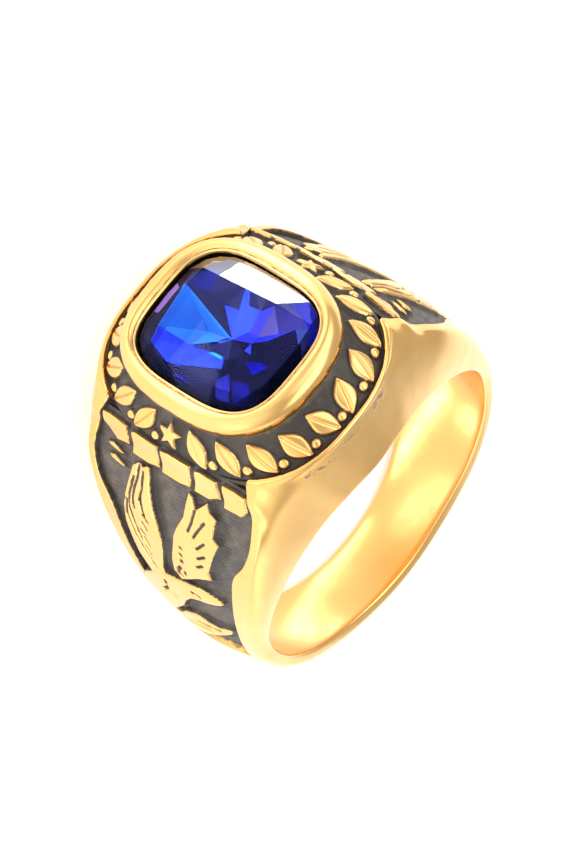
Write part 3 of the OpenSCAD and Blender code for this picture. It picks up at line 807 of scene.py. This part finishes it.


# The cut stone: a clear table and crown over foiled facets that show through them, their tones painted
# light and shade; corners are along the finger and across it, heights above the hole's centre
cutStone = {
    "tableRise": 17.68,
    "girdleFoot": 16.9,
    "culetDepth": 0.45,
    "halfLong": 4.9,        # the foiled facets fall away within this
    "halfWide": 4.2,
    "square": 2.6,
    "ripple": 0.02,         # how far they are out of line
    "table": [
        (4.1, 2.88), (1.4, 2.84), (-3.98, 2.42), (-4.16, 1.06), (-3.76, -1.83), (-3.48, -2.76),
        (-1.9, -3.2), (1.6, -3.15), (3.7, -2.8), (4.25, -1.6), (4.35, 1.2),
    ],
    # corners of the girdle and the height of its upper edge
    "girdle": [
        (2.9, 4.02, 17.415), (1.7, 4.2, 17.347), (0.2, 4.24, 17.308), (-1.6, 4.21, 17.28),
        (-3, 3.99, 17.308), (-3.8, 3.55, 17.34), (-4.38, 2.98, 17.38), (-4.83, 2, 17.4), (-4.95, 0, 17.4),
        (-4.85, -2, 17.4), (-4.45, -3, 17.38), (-3.8, -3.6, 17.38), (-2.6, -4.07, 17.38),
        (-0.5, -4.22, 17.38), (2, -4.15, 17.38), (3.3, -3.85, 17.38), (4.2, -3.25, 17.38),
        (4.8, -2.3, 17.38), (4.98, 0, 17.38), (4.93, 1.6, 17.38), (4.75, 2.5, 17.38), (4.4, 3.12, 17.38),
        (3.8, 3.66, 17.38),
    ],
    "index": 1.76,
    "tint": (0.8, 0.87, 1.0),
    "tintDeep": (0.68, 0.78, 1.0),
    "tintClouds": (240.0, 2.0, 0.35, 0.65),
    "tableGloss": (0.04, 0.045, 0.12),
    # the crown's facets mirror more strongly beyond coatedAcross and short of coatedAlong
    "coatIndex": 2.4,
    "coatedAcross": 2.2,
    "coatedAlong": 2.0,
    "flatLean": 0.999,      # cosine of the table's lean
    "wallLean": 0.3,        # and of the girdle wall's
    "foilRoughness": 0.22,
    "foilDeep": (0.01, 0.012, 0.12),
    "foilClouds": (700.0, 3.0, 0.3, 0.7),
    "foilDepth": 0.2,       # how much the clouds deepen it
    "shading": 0.2,         # how much each facet's painted light and shade varies across it
    # the darkest painted shade, where no facet gives a tone
    "darkestPaintedShade": (0.005, 0.0045, 0.026),
    # tone and corners of each foiled facet, a later one lying over an earlier one; the tones are painted
    # light and shade, bright and dark facets, and the last is a painted lilac reflection
    "facets": [
        ((0.012, 0.011, 0.045), [(-3.73, -2.66), (-3.08, -3.22), (0.92, -3.69), (1, -1.92), (-0.1, -2.44),
         (-1.23, -2.97), (-2.19, -3.13)]),
        ((0.026, 0.19, 1), [(-4.41, 1.16), (-4.02, -1.73), (-1.64, -1.71), (0.26, -0.13)]),
        ((0.022, 0.05, 0.95), [(-4.02, -1.73), (-3.73, -2.66), (-2.19, -3.13), (-1.23, -2.97),
         (-0.1, -2.44), (1, -1.92), (0.7, -1.36), (-0.39, -1.47), (-1.64, -1.71)]),
        ((0.03, 0.028, 0.1), [(-4.41, 1.16), (0.26, -0.13), (-1.57, 1.32), (-0.58, 1.52), (-1.18, 2.8),
         (-1.16, 3.3), (-3.32, 3.08), (-2.89, 1.51)]),
        ((0.028, 0.028, 0.24), [(-4.41, 1.16), (-2.89, 1.51), (-3.32, 3.08), (-3.88, 2.61), (-4.24, 2.1)]),
        ((0.035, 0.075, 0.95), [(0.26, -0.13), (-1.57, 1.32), (-0.58, 1.52), (-1.18, 2.8), (-0.83, 2.86),
         (-0.27, 2.02), (0.62, 2.15), (0.84, 0.74)]),
        ((0.022, 0.02, 0.07), [(-0.83, 2.86), (-0.27, 2.02), (0.62, 2.15), (1.11, 2.8), (1.03, 3.31),
         (-0.67, 3.31)]),
        ((0.06, 0.06, 0.75), [(1.11, 2.8), (0.62, 2.15), (0.84, 0.74), (1.54, 0.72)]),
        ((0.11, 0.085, 0.36), [(1.11, 2.8), (1.54, 0.72), (2.51, 1.54)]),
        ((0.034, 0.028, 0.19), [(1.11, 2.8), (2.51, 1.54), (3.24, 2.28), (3.83, 2.67), (3.62, 2.86),
         (1.33, 3.3)]),
        ((0.03, 0.04, 0.72), [(0.26, -0.13), (0.84, 0.74), (1.54, 0.72), (2.51, 1.54), (3.24, 2.28),
         (2.23, 0.86), (1.46, 0.24)]),
        ((0.045, 0.06, 0.3), [(3.24, 2.28), (3.83, 2.67), (4.34, 1.88), (4.54, 1.14)]),
        ((0.012, 0.012, 0.055), [(-1.64, -1.71), (-0.22, -0.73), (0.26, -0.13), (1.39, -0.32),
         (1.57, -0.77), (0.97, -1.27), (0.59, -1.42), (-0.39, -1.43)]),
        ((0.05, 0.15, 1), [(-1.26, -0.45), (-0.09, -0.21), (0.26, -0.13), (-0.22, -0.73)]),
        ((0.05, 0.5, 1), [(-0.38, -1.56), (-0.16, -1.36), (0.59, -1.3), (0.59, -1.47)]),
        ((0.03, 0.07, 0.95), [(1.39, -0.32), (1.46, 0.24), (1.93, -0.35)]),
        ((0.006, 0.005, 0.42), [(1.97, -0.91), (2.72, -0.43), (3.4, -0.47), (2.94, -1.31)]),
        ((0.03, 0.03, 0.55), [(-1.3, -3.66), (-1.16, -3.45), (-0.36, -3.5), (-0.05, -3.7), (-0.5, -3.75)]),
        ((0.02, 0.02, 0.3), [(1.25, -2.6), (1.64, -1.96), (2.89, -3.3), (2.18, -3.53), (1.81, -3.34)]),
        ((0.01, 0.008, 0.22), [(2.11, -2.19), (3.12, -1.89), (3.75, -2.5), (3.14, -3.19)]),
        ((0.002, 0.006, 0.32), [(1.5, 3.3), (3.62, 2.86), (3.83, 2.67), (4.34, 1.88), (4.9, 1.9),
         (4.75, 2.5), (4.4, 3.12), (3.8, 3.66), (2.9, 4.02), (1.7, 4.2)]),
        ((0.42, 0.2, 0.62), [(-5, -1.2), (-4.6, -1.1), (-4.55, 0.8), (-5, 1)]),
    ],
}
tableSlot, crownSlot, foilSlot = range(3)


def makeStoneMaterials():
    cut = cutStone
    materials = []
    for name in ("stoneTable", "stoneCrown"):
        glass, tree, shader, place = newMaterial(name)
        setInputs(shader, {"Transmission Weight": 1.0, "IOR": cut["index"], "Roughness": 0.0})
        tint = mix(tree, clouds(tree, place, cut["tintClouds"]), cut["tint"], cut["tintDeep"])
        tree.links.new(tint, shader.inputs["Base Color"])
        if name == "stoneTable":
            setInputs(shader, {"Specular Tint": (*cut["tableGloss"], 1)})
        else:
            setInputs(shader, {"Coat Weight": 1.0, "Coat IOR": cut["coatIndex"], "Coat Roughness": 0.0})
        materials.append(glass)
    foil, tree, shader, place = newMaterial("blueFoil")
    setInputs(shader, {"Metallic": 1.0, "Roughness": cut["foilRoughness"]})
    # the facets' tones are painted light and shade
    tone = addNode(tree, "ShaderNodeAttribute", attribute_name="tone").outputs["Color"]
    cloud = clouds(tree, place, cut["foilClouds"], 0.0, cut["foilDepth"])
    tree.links.new(mix(tree, cloud, tone, cut["foilDeep"]), shader.inputs["Base Color"])
    return [*materials, foil]


def stonePlaces(corners):
    return layOver([(-across, -rise, along) for along, across, rise in corners])


def foilRise(along, across):
    # the foiled facets fall away towards the culet
    cut = cutStone
    square = cut["square"]
    outward = (abs(along) / cut["halfLong"]) ** square + (abs(across) / cut["halfWide"]) ** square
    inward = 1 - min(1, outward ** (1 / square))
    ripple = cut["ripple"] * math.sin(7 * along + 11 * across)
    return cut["girdleFoot"] + (ripple - cut["culetDepth"]) * inward


def makeStone():
    cut, girdle = cutStone, cutStone["girdle"]
    shape = bmesh.new()
    tones = shape.loops.layers.float_color.new("tone")
    # table, crown and girdle are the hull of their corners
    corners = [(*corner, cut["tableRise"]) for corner in cut["table"]]
    corners += girdle + [(along, across, cut["girdleFoot"]) for along, across, _ in girdle]
    points = [shape.verts.new(place) for place in stonePlaces(corners)]
    bmesh.ops.convex_hull(shape, input=points)
    rim = points[-len(girdle):]
    flat = [face for face in shape.faces if all(point in rim for point in face.verts)]
    bmesh.ops.delete(shape, geom=flat, context="FACES")
    bmesh.ops.dissolve_limit(shape, angle_limit=math.radians(0.4), verts=shape.verts, edges=shape.edges)
    tilt = math.radians(castRing["lieTilt"])
    up = Vector((0, -math.cos(tilt), math.sin(tilt)))
    shape.normal_update()
    for face in shape.faces:
        lean = abs(face.normal.dot(up))
        middle = face.calc_center_median() * 1000
        along = middle.y * math.sin(tilt) + middle.z * math.cos(tilt)
        coated = -middle.x > cut["coatedAcross"] and along < cut["coatedAlong"] and lean < cut["flatLean"]
        face.material_index = foilSlot if lean < cut["wallLean"] else crownSlot if coated else tableSlot
        for loop in face.loops:
            loop[tones] = (*cut["darkestPaintedShade"], 1)
    # the foiled facets close the stone from below: their outlines, all turned the same way, are cut into
    # triangles, each in the painted light and shade tone of the last facet that it lies in
    places, outlines = [], []
    for outline in [[corner[:2] for corner in girdle]] + [outline for _, outline in cut["facets"]]:
        numbers = list(range(len(places), len(places) + len(outline)))
        twist = sum(a[0] * b[1] - a[1] * b[0] for a, b in zip(outline, outline[1:] + outline[:1]))
        outlines.append(numbers if twist > 0 else numbers[::-1])
        places += [Vector(corner) for corner in outline]
    places, _, triangles, cameFrom, _, liesIn = delaunay_2d_cdt(places, [], outlines, 1, 1e-4)
    below = []
    for place, origins in zip(places, cameFrom):
        onRim = [i for i in origins if i < len(girdle)]
        if onRim:
            below.append(rim[onRim[0]])
        else:
            below.append(shape.verts.new(stonePlaces([(*place, foilRise(*place))])[0]))
    for triangle, owners in zip(triangles, liesIn):
        if 0 not in owners:
            continue
        face = shape.faces.new([below[i] for i in triangle])
        face.material_index = foilSlot
        tone = cut["facets"][max(owners) - 1][0] if max(owners) else cut["darkestPaintedShade"]
        for loop in face.loops:
            x, y, z = (c * 1000 for c in loop.vert.co)
            shade = 1 + cut["shading"] * math.sin(2.3 * x + 1.7 * y + 3.1 * z)
            loop[tones] = (*(min(1, c * shade) for c in tone), 1)
    bmesh.ops.delete(shape, geom=[v for v in shape.verts if not v.link_faces], context="VERTS")
    bmesh.ops.recalc_face_normals(shape, faces=shape.faces)
    mesh = bpy.data.meshes.new("cutStone")
    shape.to_mesh(mesh)
    shape.free()
    for material in makeStoneMaterials():
        mesh.materials.append(material)
    piece = bpy.data.objects.new("cutStone", mesh)
    scene.collection.objects.link(piece)
    print("stone:", len(mesh.polygons), "facets")
    return piece


# The pale table, lit a little from beneath; its reach is in metres
paleFloor = {
    "reach": 1.2,
    "tones": ((0.92, 0.92, 0.92), (0.95, 0.95, 0.95)),
    "clouds": (60.0, 2.0, 0.3, 0.7),
    "roughness": 0.6,
    "glow": 0.43,
}


def makeFloor():
    reach, z = paleFloor["reach"], cadBox[0].z
    corners = np.array([(-reach, -reach, z), (reach, -reach, z), (reach, reach, z), (-reach, reach, z)])
    floor = makePiece("floor", corners, [[0, 1, 2, 3]])
    material, tree, shader, place = newMaterial("paleFloor")
    setInputs(shader, {"Roughness": paleFloor["roughness"], "Emission Color": (1, 1, 1, 1),
                       "Emission Strength": paleFloor["glow"]})
    tone = mix(tree, clouds(tree, place, paleFloor["clouds"]), *paleFloor["tones"])
    tree.links.new(tone, shader.inputs["Base Color"])
    floor.data.materials.append(material)


# Soft studio light: a pale surround that is brighter to some sides, a soft panel above and flat
# cards that shine up from just above the floor, in metres
studio = {
    "surround": 0.64,
    "glows": [
        # direction, degrees to its edge, brightness
        ((0.88, -0.4, 0.15), 72, 1.1),
        ((0.45, 0.89, 0.0), 36, 1.0),
        ((0.05, -0.95, 0.3), 26, 0.6),
        ((-0.55, -0.45, 0.7), 34, 1.7),
        ((0.96, 0.19, 0.21), 24, 1.0),
        ((0.45, 0.85, 0.35), 24, 0.5),
    ],
    "panels": [
        # place, direction it shines in, width, height, brightness
        ((-0.1, 0.06, 0.42), (0.1, -0.06, -0.42), 0.3, 0.2, 2.2),
        ((-0.0235, -0.0435, -0.0046), (0, 0, 1), 0.026, 0.022, 5.0),
        ((0.0089, -0.056, -0.0046), (0, 0, 1), 0.03, 0.02, 4.0),
        ((0.002, -0.001, -0.0052), (0, 0, 1), 0.005, 0.004, 2.2),
        ((0.0002, 0.0066, -0.0052), (0, 0, 1), 0.0034, 0.0016, 2.6),
        ((-0.0037, 0.0051, -0.0052), (0, 0, 1), 0.0016, 0.0016, 4.0),
    ],
}


def makeLights():
    world = bpy.data.worlds.new("surround")
    scene.world = world
    world.use_nodes = True
    tree = world.node_tree
    background = tree.nodes["Background"]
    background.inputs["Color"].default_value = (1, 1, 1, 1)
    toward = tree.nodes.new("ShaderNodeTexCoord").outputs["Generated"]
    strength = studio["surround"]
    for direction, edge, brightness in studio["glows"]:
        facing = addNode(tree, "ShaderNodeVectorMath", operation="DOT_PRODUCT")
        tree.links.new(toward, facing.inputs[0])
        facing.inputs[1].default_value = Vector(direction).normalized()
        glow = mapRange(tree, facing.outputs["Value"], math.cos(math.radians(edge)), 1.0, 0.0, brightness,
                        "SMOOTHSTEP")
        strength = calculate(tree, "ADD", glow, strength, False)
    tree.links.new(strength, background.inputs["Strength"])
    for i, (place, direction, width, height, brightness) in enumerate(studio["panels"]):
        data = bpy.data.lights.new(f"softPanel{i + 1}", "AREA")
        data.shape = "RECTANGLE"
        data.size, data.size_y = width, height
        data.energy = brightness * math.pi * width * height
        lamp = bpy.data.objects.new(data.name, data)
        lamp.location = place
        lamp.rotation_mode = "QUATERNION"
        lamp.rotation_quaternion = Vector(direction).to_track_quat("-Z", "Y")
        scene.collection.objects.link(lamp)
    print("lights:", len(studio["glows"]), "glows and", len(studio["panels"]), "soft panels")


# The camera stands where the photograph was taken from
photoView = {
    "place": (0.1004636, -0.3165065, 0.3731048),
    "right": (-0.62166896, 0.5099006, 0.59458311),
    "up": (-0.75660554, -0.58732636, -0.28739485),
    "lens": 357.76,
    "sensor": 36,
    "clip": (0.01, 10),
}


def makeCamera():
    data = bpy.data.cameras.new("photoCamera")
    data.lens, data.sensor_width = photoView["lens"], photoView["sensor"]
    data.clip_start, data.clip_end = photoView["clip"]
    camera = bpy.data.objects.new("photoCamera", data)
    right, up = Vector(photoView["right"]), Vector(photoView["up"])
    turn = Matrix((right, up, right.cross(up))).transposed()
    camera.matrix_world = Matrix.Translation(photoView["place"]) @ turn.to_4x4()
    scene.collection.objects.link(camera)
    scene.camera = camera


makeCamera()
makeFloor()
makeLights()
gold = makeGold()
for piece in (makeBand(), *makePanels(), makeHead()):
    piece.data.materials.append(gold)
    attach(piece, "root")
    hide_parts("ring_body")
stone = makeStone()
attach(stone, "root")
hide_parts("stone")
